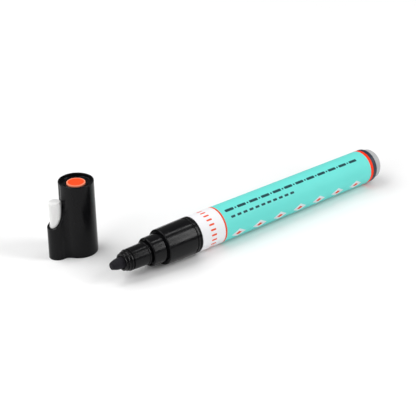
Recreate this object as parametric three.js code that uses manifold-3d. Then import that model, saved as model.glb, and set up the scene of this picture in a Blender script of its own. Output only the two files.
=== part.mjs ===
// A valve-action enamel paint marker lying on a table, with its cap taken off and standing beside the nib.
// Millimetres, +Z up. The marker lies along +X, nib at the -X end, and everything stands on z = 0.
// The origin is the middle of the footprint, on the table.
import * as THREE from "three";
import { mergeVertices } from "three/addons/utils/BufferGeometryUtils.js";
import Module from "manifold-3d";

// Clearances
const pressGap = 0.1; // between pieces that are pressed or glued together
const slideGap = 0.2; // between pieces that slide
const faceGap = 0.1; // between faces that rest on each other

// Fillets that many edges share
const fineRound = 0.15;
const edgeRound = 0.3;
const softRound = 0.4;

// Barrel, label and end plug
const barrelRadius = 7.2;
const barrelWall = 0.9;
const barrelLength = 99.2;
const barrelRimLength = 2.4; // bare band behind the label
const barrelRimRound = 0.7;
const labelThickness = 0.2;
const plugHeadRadius = 6.6;
const plugHeadLength = 3.5;
const plugHeadRound = 1.1;
const plugDishRadius = 4.4;
const plugDishSlope = 1.1; // from the dish's edge in to its flat floor
const plugDishDepth = 0.5;
const plugSpigotLength = 8;
const plugWall = 1.2;
const plugSealHeight = 0.3;
const plugSealWidth = 1.2;

// Front collar with the neck that the cap clicks onto
const collarLength = 15.6;
const collarFrontRadius = 7.15;
const collarFrontRound = 0.35;
const collarBeadWidth = 0.8;
const collarGrooveWidth = 0.45;
const collarGrooveDepth = 0.3;
const neckRootRadius = 5.85;
const neckFrontRadius = 5.74;
const neckFrontRound = 0.5;
const neckLength = 6.2;
const neckUndercutWidth = 0.7;
const neckUndercutDepth = 0.35;
const neckRecessWidth = 0.6;
const neckRecessDepth = 0.9;
const collarSpigotLength = 8;
const collarSpigotWall = 1;

// Nozzle that holds the nib
const nozzleRadius = 4.43;
const nozzleFrontRadius = 4.25;
const nozzleLength = 11.45; // in front of the neck
const nozzleTailLength = 11.8; // inside the neck and collar
const nozzleBeadHeight = 0.25;
const nozzleBeadWidth = 0.7;
const nozzleBeadOffset = 0.7;
const ribCount = 3;
const ribWidth = 0.6;
const ribPitch = 1.15;
const ribDepth = 0.45;
const ribRound = 0.15;
const ribFrontRadius = 3.4;

// Fibre nib, and the spare in the cap
const nibRadius = 2.4;
const nibLength = 22.5;
const nibReach = 4.85; // in front of the nozzle
const nibFlatRadius = 1.5;
const nibTipLength = 2.6;
const nibShoulderRound = 2;
const nibRearRound = 0.5;
const nibTravel = 2.5; // how far the nib is pressed in to open the valve

// Valve inside the collar
const valveDepth = 5.8; // from the collar's rear face forward to the valve's shoulder
const seatThickness = 1.7;
const seatHoleRadius = 2.1;
const stemRadius = 1.5;
const stemHeadRadius = 3;
const stemHeadThickness = 1.8;
const guideRadius = 1.1;
const stemTail = 0.8;
const cageLength = 17.5;
const cageWall = 1;
const cageEndWall = 1.6;
const cageFlangeLength = 1.5;
const cageFlangeWidth = 0.5;
const windowCount = 4;
const windowWidth = 2.6;
const windowMargin = 2.5;
const springWire = 0.6; // diameter
const springTurns = 6;
const springStepsPerTurn = 8;

// Mixing ball
const ballRadius = 2.8;
const ballGap = 0.6;

// Cap
const capHeight = 30.6;
const capRimRadius = 7.1;
const capTopRadius = 6.9;
const capTopRound = 0.25;
const capMouthMargin = 0.8; // mouth bore beyond the length of the neck
const capSnapHeight = 0.08;
const capSnapPlace = 2.2;
const capSnapWidth = 0.8;
const wellWall = 0.65;
const wellDepth = 1.4;
const wellFloorThickness = 1.5;
const ledgeWidth = 0.55;
const ledgeHeight = 0.35;
const discRadius = 3.67;
const discHeight = 0.7;
const discRound = 0.15;
const discPegRadius = 1.4;
const discPegLength = 0.9;
const discMargin = 0.45; // groove between the disc and the ledge round it

// Pocket on the side of the cap, for the spare nib
const pocketDistance = 9.4; // from the cap's axis
const pocketWall = 1.1;
const pocketFloor = 1.4;
const pocketFillet = 3;
const pocketMouthHeight = 13.3; // at the pocket's outer side
const scoopDipRun = 1.9; // the scoop dips a little behind the mouth's outer edge
const scoopDip = 0.9;
const scoopSteepRun = 4; // and ends steep, in line with the body
const scoopTopHeight = 23.2;

// Soft cup inside the cap that seals the nozzle
const linerFlangeLength = 2;
const linerFlangeWidth = 0.35;
const linerWall = 0.6;
const linerStepRadius = 3;
const linerEndThickness = 1.2;
const linerEndRound = 0.8;
const linerPostRadius = 2;

// Where the cap stands, from the middle of the collar's rear face, and how far its pocket is turned from +X
const capPlace = { x: -33.2, y: 28.9, turn: 172.1 };

// Facets
const bodySides = 40;
const nozzleSides = 32;
const innerSides = 24;
const ballSides = 20;
const arcStep = Math.PI / 18;
const scoopSteps = 12;
const roundSteps = 3;
const smallFillet = 0.5; // a fillet below this is cut as a plain chamfer
const filletShare = 0.45; // of the shorter side next to it, at most
const overshoot = 1; // how far a cutter runs past what it cuts

// Radii and places that follow from the sizes above
const barrelBoreRadius = barrelRadius - barrelWall;
const bodyRadius = barrelRadius + pressGap + labelThickness;
const spigotRadius = barrelBoreRadius - pressGap;
const valveBoreRadius = spigotRadius - collarSpigotWall;
const nozzleBoreRadius = nozzleRadius + pressGap;
const nibBoreRadius = nibRadius + slideGap;
const cageRadius = valveBoreRadius - pressGap;
const cageBoreRadius = cageRadius - cageFlangeWidth - cageWall;

const neckFaceX = -collarLength - neckLength;
const nozzleFrontX = neckFaceX - nozzleLength;
const nibTipX = nozzleFrontX - nibReach;
const nibRearX = nibTipX + nibLength;
const valveShoulderX = -valveDepth;
const seatX = valveShoulderX + faceGap;
const cageX = seatX + seatThickness + faceGap;
const cageEndX = cageX + cageLength;
const stemHeadX = cageX;
const springX = stemHeadX + stemHeadThickness + faceGap;
const springEndX = cageEndX - cageEndWall - faceGap;
const stemEndX = cageEndX + stemTail;
const ballX = stemEndX + nibTravel + ballGap + ballRadius;
const labelX = faceGap;
const labelEndX = barrelLength - barrelRimLength - faceGap;
const plugX = barrelLength + faceGap;

const capMouthRadius = neckRootRadius + pressGap + capSnapHeight;
const capMouthDepth = neckLength + capMouthMargin;
const linerBoreRadius = nozzleRadius + slideGap;
const linerRadius = linerBoreRadius + linerWall;
const capUpperRadius = linerRadius + linerFlangeWidth + pressGap;
const wellFloorHeight = capHeight - wellDepth;
const capCeiling = wellFloorHeight - wellFloorThickness;
const ledgeRadius = discRadius + discMargin;
const pocketRadius = nibRadius + slideGap;
const lobeRadius = pocketRadius + pocketWall;

const material = {
  blackPlastic: new THREE.MeshStandardMaterial({ color: 0x1b1b1d, roughness: 0.34 }),
  naturalPlastic: new THREE.MeshStandardMaterial({ color: 0xb4b6b8, roughness: 0.4 }),
  barrelPlastic: new THREE.MeshStandardMaterial({ color: 0x2e3440, roughness: 0.35 }),
  linerPlastic: new THREE.MeshStandardMaterial({ color: 0xd8d8d4, roughness: 0.5 }),
  label: new THREE.MeshStandardMaterial({ color: 0x62dccb, roughness: 0.38 }),
  disc: new THREE.MeshStandardMaterial({ color: 0xf0552f, roughness: 0.45 }),
  inkedFibre: new THREE.MeshStandardMaterial({ color: 0x1f1b26, roughness: 0.85 }),
  cleanFibre: new THREE.MeshStandardMaterial({ color: 0xe9e9e6, roughness: 0.9 }),
  rubber: new THREE.MeshStandardMaterial({ color: 0x2a2a2a, roughness: 0.8 }),
  steel: new THREE.MeshStandardMaterial({ color: 0xc4c7ca, roughness: 0.25, metalness: 1 }),
};

// An outline for a turned piece. Each corner is [place along the axis, radius, optional fillet].
// The outer side runs towards +axis, so that the faces point out.
function turnedOutline(corners, closed) {
  const points = [];
  const last = corners.length - 1;
  corners.forEach(([along, radius, fillet = 0], i) => {
    const corner = new THREE.Vector2(radius, along);
    if (!fillet || (!closed && (i === 0 || i === last))) {
      points.push(corner);
      return;
    }
    const [alongBefore, radiusBefore] = corners[i === 0 ? last : i - 1];
    const [alongAfter, radiusAfter] = corners[i === last ? 0 : i + 1];
    const towardsBefore = new THREE.Vector2(radiusBefore, alongBefore).sub(corner);
    const towardsAfter = new THREE.Vector2(radiusAfter, alongAfter).sub(corner);
    const room = filletShare * Math.min(towardsBefore.length(), towardsAfter.length());
    towardsBefore.normalize();
    towardsAfter.normalize();
    const halfAngle = Math.acos(towardsBefore.dot(towardsAfter)) / 2;
    const reach = Math.min(fillet / Math.tan(halfAngle), room);
    const start = corner.clone().addScaledVector(towardsBefore, reach);
    const end = corner.clone().addScaledVector(towardsAfter, reach);
    const steps = fillet < smallFillet ? 1 : roundSteps;
    points.push(...new THREE.QuadraticBezierCurve(start, corner, end).getPoints(steps));
  });
  if (closed) points.push(points[0].clone());
  return points;
}

// Turned pieces of the marker lie along X, and a flat facet is underneath.
function turnedAlongX(corners, { closed = false, sides = bodySides } = {}) {
  const geometry = new THREE.LatheGeometry(turnedOutline(corners, closed), sides, Math.PI / sides);
  return geometry.rotateZ(-Math.PI / 2);
}

function turnedAlongZ(corners, { closed = false, sides = bodySides } = {}) {
  const geometry = new THREE.LatheGeometry(turnedOutline(corners, closed), sides, Math.PI / sides);
  return geometry.rotateX(Math.PI / 2);
}

const wasm = await Module();
wasm.setup();

function toSolid(geometry) {
  const bare = geometry.clone();
  bare.deleteAttribute("normal");
  bare.deleteAttribute("uv");
  const merged = mergeVertices(bare, 1e-4);
  return new wasm.Manifold(
    new wasm.Mesh({
      numProp: 3,
      vertProperties: new Float32Array(merged.attributes.position.array),
      triVerts: new Uint32Array(merged.index.array),
    }),
  );
}

function toGeometry(solid) {
  const mesh = solid.getMesh();
  const geometry = new THREE.BufferGeometry();
  geometry.setAttribute("position", new THREE.BufferAttribute(mesh.vertProperties, 3));
  geometry.setIndex(new THREE.BufferAttribute(mesh.triVerts, 1));
  geometry.computeVertexNormals();
  return geometry;
}

function piece(name, geometry, finish) {
  const mesh = new THREE.Mesh(geometry, finish);
  mesh.name = name;
  return mesh;
}

// Ring that stands out of, or is cut into, a turned outline: its corners in order along the axis.
function ring(start, width, radius, height, round = 0) {
  return [
    [start, radius],
    [start, radius + height, round],
    [start + width, radius + height, round],
    [start + width, radius],
  ];
}

function makeBarrel() {
  const corners = [
    [faceGap, barrelBoreRadius],
    [faceGap, barrelRadius],
    [barrelLength - barrelRimLength, barrelRadius],
    [barrelLength - barrelRimLength, bodyRadius, fineRound],
    [barrelLength, bodyRadius, barrelRimRound],
    [barrelLength, barrelBoreRadius],
  ];
  return piece("barrel", turnedAlongX(corners, { closed: true }), material.barrelPlastic);
}

function makeLabel() {
  const inner = barrelRadius + pressGap;
  const corners = [
    [labelX, inner],
    [labelX, bodyRadius],
    [labelEndX, bodyRadius],
    [labelEndX, inner],
  ];
  return piece("label_sleeve", turnedAlongX(corners, { closed: true }), material.label);
}

// Cup-shaped plug, open towards the paint, with one sealing ring on its spigot.
function makeEndPlug() {
  const spigotEnd = plugX - plugSpigotLength;
  const innerRadius = spigotRadius - plugSealHeight - plugWall;
  const sealRoot = spigotRadius - plugSealHeight;
  const rear = plugX + plugHeadLength;
  const corners = [
    [rear - plugDishDepth - plugWall, 0],
    [rear - plugDishDepth - plugWall, innerRadius, softRound],
    [spigotEnd, innerRadius],
    [spigotEnd, sealRoot, edgeRound],
    ...ring(spigotEnd + plugSealWidth, plugSealWidth, sealRoot, plugSealHeight, edgeRound),
    [plugX, sealRoot],
    [plugX, plugHeadRadius, fineRound],
    [rear, plugHeadRadius, plugHeadRound],
    [rear, plugDishRadius, edgeRound],
    [rear - plugDishDepth, plugDishRadius - plugDishSlope],
    [rear - plugDishDepth, 0],
  ];
  return piece("end_plug", turnedAlongX(corners), material.naturalPlastic);
}

// Collar: two beads against the label, a tapered grip, the neck, and a spigot pressed into the barrel.
function makeCollar() {
  const grooveRoot = bodyRadius - collarGrooveDepth;
  const undercut = neckRootRadius - neckUndercutDepth;
  const recessRadius = nozzleBoreRadius + neckRecessWidth;
  const grooves = [1, 0].flatMap((i) => {
    const start = -(i + 1) * (collarBeadWidth + collarGrooveWidth);
    const end = start + collarGrooveWidth;
    return [
      [start, bodyRadius, fineRound],
      [start, grooveRoot],
      [end, grooveRoot],
      [end, bodyRadius, fineRound],
    ];
  });
  const corners = [
    [neckFaceX + neckRecessDepth, nozzleBoreRadius],
    [neckFaceX + neckRecessDepth, recessRadius],
    [neckFaceX, recessRadius, fineRound],
    [neckFaceX, neckFrontRadius, neckFrontRound],
    [-collarLength - neckUndercutWidth, neckRootRadius, fineRound],
    [-collarLength - neckUndercutWidth, undercut],
    [-collarLength, undercut],
    [-collarLength, collarFrontRadius, collarFrontRound],
    ...grooves,
    [0, bodyRadius, fineRound],
    [0, spigotRadius],
    [collarSpigotLength, spigotRadius, edgeRound],
    [collarSpigotLength, valveBoreRadius],
    [valveShoulderX, valveBoreRadius],
    [valveShoulderX, nozzleBoreRadius],
  ];
  return piece("front_collar", turnedAlongX(corners, { closed: true }), material.blackPlastic);
}

// Nozzle: a tail pressed into the collar, a base bead, a tapered barrel and stepped ribs at the nib.
function makeNozzle() {
  const beadStart = neckFaceX - nozzleBeadOffset - nozzleBeadWidth;
  const tailEnd = neckFaceX + nozzleTailLength;
  const ribs = [];
  for (let i = 0; i < ribCount; i++) {
    const start = nozzleFrontX + i * ribPitch;
    const share = ribCount > 1 ? i / (ribCount - 1) : 1;
    const radius = ribFrontRadius + (nozzleFrontRadius - ribFrontRadius) * share;
    const root = Math.max(radius - ribDepth, nibBoreRadius + ribDepth);
    if (i > 0) ribs.push([start, root]);
    ribs.push([start, radius, ribRound], [start + ribWidth, radius, ribRound], [start + ribWidth, root]);
  }
  const shoulder = nozzleFrontX + ribCount * ribPitch;
  const corners = [
    [nozzleFrontX, nibBoreRadius],
    ...ribs,
    [shoulder, nozzleFrontRadius - ribDepth],
    [shoulder, nozzleFrontRadius, ribRound],
    ...ring(beadStart, nozzleBeadWidth, nozzleRadius, nozzleBeadHeight, ribRound),
    [tailEnd, nozzleRadius, softRound],
    [tailEnd, nibBoreRadius],
  ];
  return piece("nozzle", turnedAlongX(corners, { closed: true, sides: nozzleSides }), material.blackPlastic);
}

// Corners of a nib from its blunt, rounded tip, at the low end of its axis, to its flat rear end.
function nibCorners(tip, rear) {
  return [
    [tip, 0],
    [tip, nibFlatRadius, softRound],
    [tip + nibTipLength, nibRadius, nibShoulderRound],
    [rear, nibRadius, nibRearRound],
    [rear, 0],
  ];
}

function makeNib() {
  const geometry = turnedAlongX(nibCorners(nibTipX, nibRearX), { sides: innerSides });
  return piece("nib", geometry, material.inkedFibre);
}

function makeValveSeat() {
  const radius = valveBoreRadius - pressGap;
  const corners = [
    [seatX, seatHoleRadius],
    [seatX, radius],
    [seatX + seatThickness, radius],
    [seatX + seatThickness, seatHoleRadius],
  ];
  return piece("valve_seat", turnedAlongX(corners, { closed: true, sides: innerSides }), material.rubber);
}

// Stem: the rod that the nib pushes, the head that closes on the seat, and the rod that guides the spring.
function makeValveStem() {
  const head = Math.min(stemHeadRadius, cageBoreRadius - slideGap);
  const corners = [
    [nibRearX + faceGap, 0],
    [nibRearX + faceGap, stemRadius, edgeRound],
    [stemHeadX, stemRadius],
    [stemHeadX, head, edgeRound],
    [stemHeadX + stemHeadThickness, head],
    [stemHeadX + stemHeadThickness, guideRadius],
    [stemEndX, guideRadius, edgeRound],
    [stemEndX, 0],
  ];
  return piece("valve_stem", turnedAlongX(corners, { sides: innerSides }), material.naturalPlastic);
}

// Cage: a flange against the seat, a tube with paint windows, and an end wall that guides the stem.
function makeValveCage() {
  const tubeRadius = cageRadius - cageFlangeWidth;
  const hole = guideRadius + slideGap;
  const corners = [
    [cageX, cageBoreRadius],
    [cageX, cageRadius],
    [cageX + cageFlangeLength, cageRadius],
    [cageX + cageFlangeLength, tubeRadius],
    [cageEndX, tubeRadius, softRound],
    [cageEndX, hole],
    [cageEndX - cageEndWall, hole],
    [cageEndX - cageEndWall, cageBoreRadius],
  ];
  let cage = toSolid(turnedAlongX(corners, { closed: true, sides: innerSides }));
  const start = cageX + cageFlangeLength + windowMargin;
  const end = cageEndX - cageEndWall - windowMargin;
  for (let i = 0; i < windowCount; i++) {
    const window = new THREE.BoxGeometry(end - start, windowWidth, tubeRadius);
    window.translate((start + end) / 2, 0, tubeRadius);
    window.rotateX(((i + 0.5) * 2 * Math.PI) / windowCount);
    cage = cage.subtract(toSolid(window));
  }
  return piece("valve_cage", toGeometry(cage), material.naturalPlastic);
}

class Helix extends THREE.Curve {
  constructor(radius, length, turns) {
    super();
    Object.assign(this, { radius, length, turns });
  }
  getPoint(share, target = new THREE.Vector3()) {
    const angle = share * this.turns * 2 * Math.PI;
    const y = this.radius * Math.cos(angle);
    const z = this.radius * Math.sin(angle);
    return target.set(share * this.length, y, z);
  }
}

// Compression spring round the stem's guide, between its head and the cage's end wall.
function makeValveSpring() {
  const coilRadius = (guideRadius + slideGap + cageBoreRadius) / 2;
  const helix = new Helix(coilRadius, springEndX - springX - springWire, springTurns);
  const section = new THREE.Shape().absarc(0, 0, springWire / 2, 0, 2 * Math.PI);
  const steps = springStepsPerTurn * springTurns;
  const geometry = new THREE.ExtrudeGeometry(section, { steps, extrudePath: helix, curveSegments: 3 });
  geometry.translate(springX + springWire / 2, 0, 0);
  let least = Infinity;
  for (let i = 0; i + springStepsPerTurn <= steps; i++) {
    const next = helix.getPoint((i + springStepsPerTurn) / steps);
    least = Math.min(least, helix.getPoint(i / steps).distanceTo(next));
  }
  console.log(`valve_spring: least gap between turns ${(least - springWire).toFixed(2)} mm`);
  return piece("valve_spring", geometry, material.steel);
}

function makeMixingBall() {
  const ball = new THREE.SphereGeometry(ballRadius, ballSides, ballSides / 2);
  ball.translate(ballX, 0, -(barrelBoreRadius - ballRadius - pressGap));
  return piece("mixing_ball", ball, material.steel);
}

// Outline of the cap's body and pocket seen from above: two circles joined by a hollow fillet on each side.
function capOutline() {
  const toBody = capRimRadius + pocketFillet;
  const toLobe = lobeRadius + pocketFillet;
  const u = (toBody ** 2 - toLobe ** 2 + pocketDistance ** 2) / (2 * pocketDistance);
  const v = Math.sqrt(toBody ** 2 - u ** 2);
  const onBody = Math.atan2(v, u);
  const onLobe = Math.atan2(v, u - pocketDistance);
  const points = [];
  const addArc = (x, y, radius, from, to) => {
    const steps = Math.ceil(Math.abs(to - from) / arcStep);
    for (let i = 0; i < steps; i++) {
      const angle = from + ((to - from) * i) / steps;
      points.push(new THREE.Vector2(x + radius * Math.cos(angle), y + radius * Math.sin(angle)));
    }
  };
  addArc(0, 0, capRimRadius, onBody, 2 * Math.PI - onBody);
  addArc(u, -v, pocketFillet, Math.PI - onBody, Math.PI - onLobe);
  addArc(pocketDistance, 0, lobeRadius, -onLobe, onLobe);
  addArc(u, v, pocketFillet, onLobe - Math.PI, onBody - Math.PI);
  return new THREE.Shape(points);
}

// Radius of the cap's body at a height: it narrows evenly towards the top.
function capRadiusAt(height) {
  return capRimRadius + ((capTopRadius - capRimRadius) * height) / capHeight;
}

// Block with the cap's whole outline, drawn in towards the top like the cap's body.
function makePocketBlock() {
  const geometry = new THREE.ExtrudeGeometry(capOutline(), {
    depth: scoopTopHeight,
    bevelEnabled: false,
  });
  const position = geometry.getAttribute("position");
  for (let i = 0; i < position.count; i++) {
    const scale = capRadiusAt(position.getZ(i)) / capRimRadius;
    position.setXY(i, position.getX(i) * scale, position.getY(i) * scale);
  }
  return toSolid(geometry);
}

// The scoop lays the nib bare: a hollow curve, turned about the cap, that dips behind the pocket's
// outer edge, climbs, and runs out along the body, a little under its surface.
function makeScoop() {
  const mouth = pocketDistance + lobeRadius;
  const wall = capRadiusAt(scoopTopHeight) - pressGap;
  const profile = new THREE.CubicBezierCurve(
    new THREE.Vector2(mouth, pocketMouthHeight),
    new THREE.Vector2(mouth - scoopDipRun, pocketMouthHeight - scoopDip),
    new THREE.Vector2(wall, scoopTopHeight - scoopSteepRun),
    new THREE.Vector2(wall, scoopTopHeight),
  );
  const inner = profile.getPoints(scoopSteps).map((point) => [point.y, point.x]);
  const corners = [
    [pocketMouthHeight, mouth + overshoot],
    [scoopTopHeight + overshoot, mouth + overshoot],
    [scoopTopHeight + overshoot, wall],
    ...inner.reverse(),
  ];
  return toSolid(turnedAlongZ(corners, { closed: true }));
}

// Cap: a tapered body with a bored inside and a well on top, and a scooped pocket on one side.
function makeCapShell() {
  const wellRadius = capTopRadius - wellWall;
  const snapRadius = capMouthRadius - capSnapHeight;
  const body = [
    [0, capMouthRadius],
    [0, capRimRadius],
    [capHeight, capTopRadius, capTopRound],
    [capHeight, wellRadius, capTopRound],
    [wellFloorHeight, wellRadius],
    [wellFloorHeight, ledgeRadius + ledgeWidth],
    [wellFloorHeight + ledgeHeight, ledgeRadius + ledgeWidth],
    [wellFloorHeight + ledgeHeight, ledgeRadius],
    [wellFloorHeight, ledgeRadius],
    [wellFloorHeight, discPegRadius + pressGap],
    [wellFloorHeight - discPegLength - faceGap, discPegRadius + pressGap],
    [wellFloorHeight - discPegLength - faceGap, 0],
    [capCeiling, 0],
    [capCeiling, capUpperRadius],
    [capMouthDepth, capUpperRadius],
    [capMouthDepth, capMouthRadius],
    [capSnapPlace + capSnapWidth, capMouthRadius],
    [capSnapPlace + capSnapWidth / 2, snapRadius],
    [capSnapPlace, capMouthRadius],
  ];
  const bodySolid = toSolid(turnedAlongZ(body, { closed: true }));

  // The block is joined to the body half-way through the body's wall.
  const core = toSolid(
    turnedAlongZ([
      [-overshoot, 0],
      [-overshoot, (capMouthRadius + capRimRadius) / 2],
      [capHeight, (capUpperRadius + capTopRadius) / 2],
      [capHeight, 0],
    ]),
  );
  const pocket = turnedAlongZ(
    [
      [pocketFloor, 0],
      [pocketFloor, pocketRadius],
      [capHeight + overshoot, pocketRadius],
      [capHeight + overshoot, 0],
    ],
    { sides: innerSides },
  );
  pocket.translate(pocketDistance, 0, 0);

  const block = makePocketBlock().subtract(core).subtract(makeScoop());
  const shell = bodySolid.add(block).subtract(toSolid(pocket));
  return piece("cap_shell", toGeometry(shell), material.blackPlastic);
}

// Soft cup that takes the nozzle and nib when the cap is on.
function makeCapLiner() {
  const flangeRadius = linerRadius + linerFlangeWidth;
  const bottom = capMouthDepth + slideGap;
  const postTop = capCeiling - faceGap;
  const closedEnd = bottom + nozzleLength + nibReach;
  const stepHeight = bottom + nozzleLength;
  const corners = [
    [closedEnd, 0],
    [closedEnd, linerStepRadius, softRound],
    [stepHeight, linerStepRadius],
    [stepHeight, linerBoreRadius, softRound],
    [bottom, linerBoreRadius],
    [bottom, flangeRadius],
    [bottom + linerFlangeLength, flangeRadius],
    [bottom + linerFlangeLength, linerRadius],
    [closedEnd + linerEndThickness, linerRadius, linerEndRound],
    [closedEnd + linerEndThickness, linerPostRadius],
    [postTop, linerPostRadius],
    [postTop, 0],
  ];
  return piece("cap_liner", turnedAlongZ(corners), material.linerPlastic);
}

function makeCapDisc() {
  const bottom = wellFloorHeight + faceGap;
  const corners = [
    [wellFloorHeight - discPegLength, 0],
    [wellFloorHeight - discPegLength, discPegRadius],
    [bottom, discPegRadius],
    [bottom, discRadius],
    [wellFloorHeight + discHeight, discRadius, discRound],
    [wellFloorHeight + discHeight, 0],
  ];
  return piece("cap_disc", turnedAlongZ(corners), material.disc);
}

// The spare stands tip down in its pocket.
function makeSpareNib() {
  const tip = pocketFloor + faceGap;
  const geometry = turnedAlongZ(nibCorners(tip, tip + nibLength), { sides: innerSides });
  geometry.translate(pocketDistance, 0, 0);
  return piece("spare_nib", geometry, material.cleanFibre);
}

// The marker rests on a flat facet of its label, collar and barrel rim.
const marker = new THREE.Group();
marker.position.z = bodyRadius * Math.cos(Math.PI / bodySides);
marker.add(
  makeBarrel(),
  makeEndPlug(),
  makeLabel(),
  makeCollar(),
  makeNozzle(),
  makeNib(),
  makeValveSeat(),
  makeValveStem(),
  makeValveCage(),
  makeValveSpring(),
  makeMixingBall(),
);

const cap = new THREE.Group();
cap.position.set(capPlace.x, capPlace.y, 0);
cap.rotation.z = THREE.MathUtils.degToRad(capPlace.turn);
cap.add(makeCapShell(), makeCapLiner(), makeCapDisc(), makeSpareNib());

// Everything is moved so that the origin is under the middle of the whole.
const placed = new THREE.Group();
placed.add(marker, cap);
const middle = new THREE.Box3().setFromObject(placed, true).getCenter(new THREE.Vector3());
placed.position.set(-middle.x, -middle.y, 0);

const group = new THREE.Group();
group.add(placed);

export default group;
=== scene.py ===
"""An enamel paint marker lying on a white table, with its cap taken off and standing beside the nib.

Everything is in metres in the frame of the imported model: the marker lies along X with its nib at -X,
and the cap stands on z = 0. Sizes below are written in millimetres, as MM times a number. Colours are
linear.
"""
import math

import bmesh
import bpy
from mathutils import Matrix, Vector


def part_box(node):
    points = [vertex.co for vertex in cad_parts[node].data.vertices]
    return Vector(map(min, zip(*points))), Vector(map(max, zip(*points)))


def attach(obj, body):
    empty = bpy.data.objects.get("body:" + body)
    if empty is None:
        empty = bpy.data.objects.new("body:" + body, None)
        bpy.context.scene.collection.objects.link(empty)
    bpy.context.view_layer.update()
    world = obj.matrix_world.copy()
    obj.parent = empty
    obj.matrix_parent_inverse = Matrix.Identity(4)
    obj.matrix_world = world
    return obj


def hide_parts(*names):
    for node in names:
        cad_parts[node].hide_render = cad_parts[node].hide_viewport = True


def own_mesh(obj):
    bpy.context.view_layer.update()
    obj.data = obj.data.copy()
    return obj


MM = 0.001

# Steps and tolerances of the meshes
BODY_STEPS = 128
INNER_STEPS = 64
ROUND_SEGMENTS = 4
FOOT_SEGMENTS = 3
MOUTH_SEGMENTS = 2
SCOOP_STEPS = 40
FILLET_STEPS = 24
LOBE_STEPS = 80
COIL_STEPS = 48
WIRE_STEPS = 20
BALL_CUTS = 23
SAME_PLACE = 1e-7
MERGE = 2e-6  # points nearer than this become one
FINE_MERGE = 1e-6  # the same for the cap's shell
POCKET_MERGE = 5e-6  # and where the arcs round the pocket meet
ON_TABLE = 1e-6  # a place lower than this is on the table
CRISP = 32  # degrees between two faces, past which their edge stays crisp
SOFT_CRISP = 50  # the same for fibre
ROUND_CRISP = 60  # and for wire and ball
CAP_CRISP = 28  # and for the cap's shell
FACE_WEIGHT = 60  # how much large faces count in the shading of an edge

# Clearances, and fillets that several edges share
PRESS_GAP = 0.1 * MM
SLIDE_GAP = 0.2 * MM
SINK = 0.02 * MM  # how far a piece reaches into one that it meets
OVERSHOOT = 1 * MM  # how far a cutter runs past what it cuts
FAINT_ROUND = 0.05 * MM
RIB_ROUND = 0.12 * MM
FINE_ROUND = 0.15 * MM
EDGE_ROUND = 0.2 * MM
FIRM_ROUND = 0.25 * MM
BROAD_ROUND = 0.3 * MM
SOFT_ROUND = 0.4 * MM
WIDE_ROUND = 0.5 * MM
FULL_ROUND = 0.8 * MM

# Barrel, label and end plug
BARREL_WALL = 0.9 * MM
BARREL_RIM_LENGTH = 2.4 * MM
BARREL_RIM_ROUND = 0.7 * MM
BARREL_STEP_ROUND = 0.1 * MM
LABEL_THICKNESS = 0.2 * MM
PLUG_HEAD_LENGTH = 3.5 * MM
PLUG_HEAD_ROUND = 1.1 * MM
PLUG_HEAD_WALL = 1.7 * MM
PLUG_SEAL_RADIUS = 6.2 * MM
PLUG_SEAL_HEIGHT = 0.3 * MM
PLUG_WALL = 1.2 * MM
PLUG_DISH_RADIUS = 4.4 * MM
PLUG_FLAT_RADIUS = 3.3 * MM
PLUG_DISH_DEPTH = 0.5 * MM

# Front collar with its neck
BEAD_COUNT = 2  # behind the collar's plain part, each after a groove
BEAD_WIDTH = 0.8 * MM
BEAD_ROUND = 0.34 * MM
GROOVE_WIDTH = 0.45 * MM
GROOVE_DEPTH = 0.3 * MM
COLLAR_LENGTH = 15.6 * MM
COLLAR_FRONT_RADIUS = 7.15 * MM
COLLAR_FRONT_ROUND = 0.35 * MM
SPIGOT_DROP = 1.3 * MM
SPIGOT_WALL = 1 * MM
VALVE_DEPTH = 5.8 * MM
NECK_LENGTH = 6.2 * MM
NECK_ROOT_RADIUS = 5.85 * MM
NECK_FRONT_RADIUS = 5.74 * MM
NECK_FRONT_ROUND = 0.5 * MM
NECK_RECESS_WIDTH = 0.6 * MM
NECK_RECESS_DEPTH = 0.9 * MM
UNDERCUT_WIDTH = 0.7 * MM
UNDERCUT_DEPTH = 0.35 * MM

# Nozzle and nib
NOZZLE_RADIUS = 4.43 * MM
NOZZLE_FRONT_RADIUS = 4.25 * MM
NOZZLE_BEAD_PLACE = 1.4 * MM  # in front of the neck's face
NOZZLE_BEAD_WIDTH = 0.7 * MM
NOZZLE_BEAD_HEIGHT = 0.25 * MM
NOZZLE_BEAD_ROUND = 0.22 * MM
NOZZLE_LIP_ROUND = 0.1 * MM
RIB_COUNT = 3
RIB_PITCH = 1.15 * MM
RIB_WIDTH = 0.6 * MM
RIB_DEPTH = 0.45 * MM
RIB_FRONT_RADIUS = 3.4 * MM
NIB_RADIUS = 2.4 * MM
NIB_FLAT_RADIUS = 1.5 * MM
NIB_TIP_LENGTH = 2.6 * MM
NIB_SHOULDER_ROUND = 1 * MM
NIB_FRONT_LENGTH = 5.2 * MM
NIB_STEP = 0.18 * MM

# Cap, with the pocket for the spare nib on its side
CAP_RIM_RADIUS = 7.09 * MM
CAP_TOP_RADIUS = 6.9 * MM
CAP_HEIGHT = 30.6 * MM
CAP_TURN = math.radians(172.1)
MOUTH_RADIUS = 6.03 * MM
MOUTH_DEPTH = 7 * MM
THROAT_RADIUS = 5.68 * MM
SNAP_PLACE = 2.2 * MM
SNAP_WIDTH = 0.8 * MM
SNAP_HEIGHT = 0.08 * MM
WELL_WALL = 0.65 * MM
WELL_DEPTH = 1.4 * MM
WELL_FLOOR = 1.5 * MM
LEDGE_RADIUS = 4.12 * MM
LEDGE_WIDTH = 0.6 * MM
LEDGE_HEIGHT = 0.45 * MM
LEDGE_ROUND = 0.29 * MM
PEG_HOLE_RADIUS = 1.5 * MM
PEG_HOLE_DEPTH = 1 * MM
POCKET_DISTANCE = 9.4 * MM
POCKET_RADIUS = 2.6 * MM
POCKET_FILLET = 3 * MM
POCKET_FLOOR = 1.4 * MM
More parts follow.
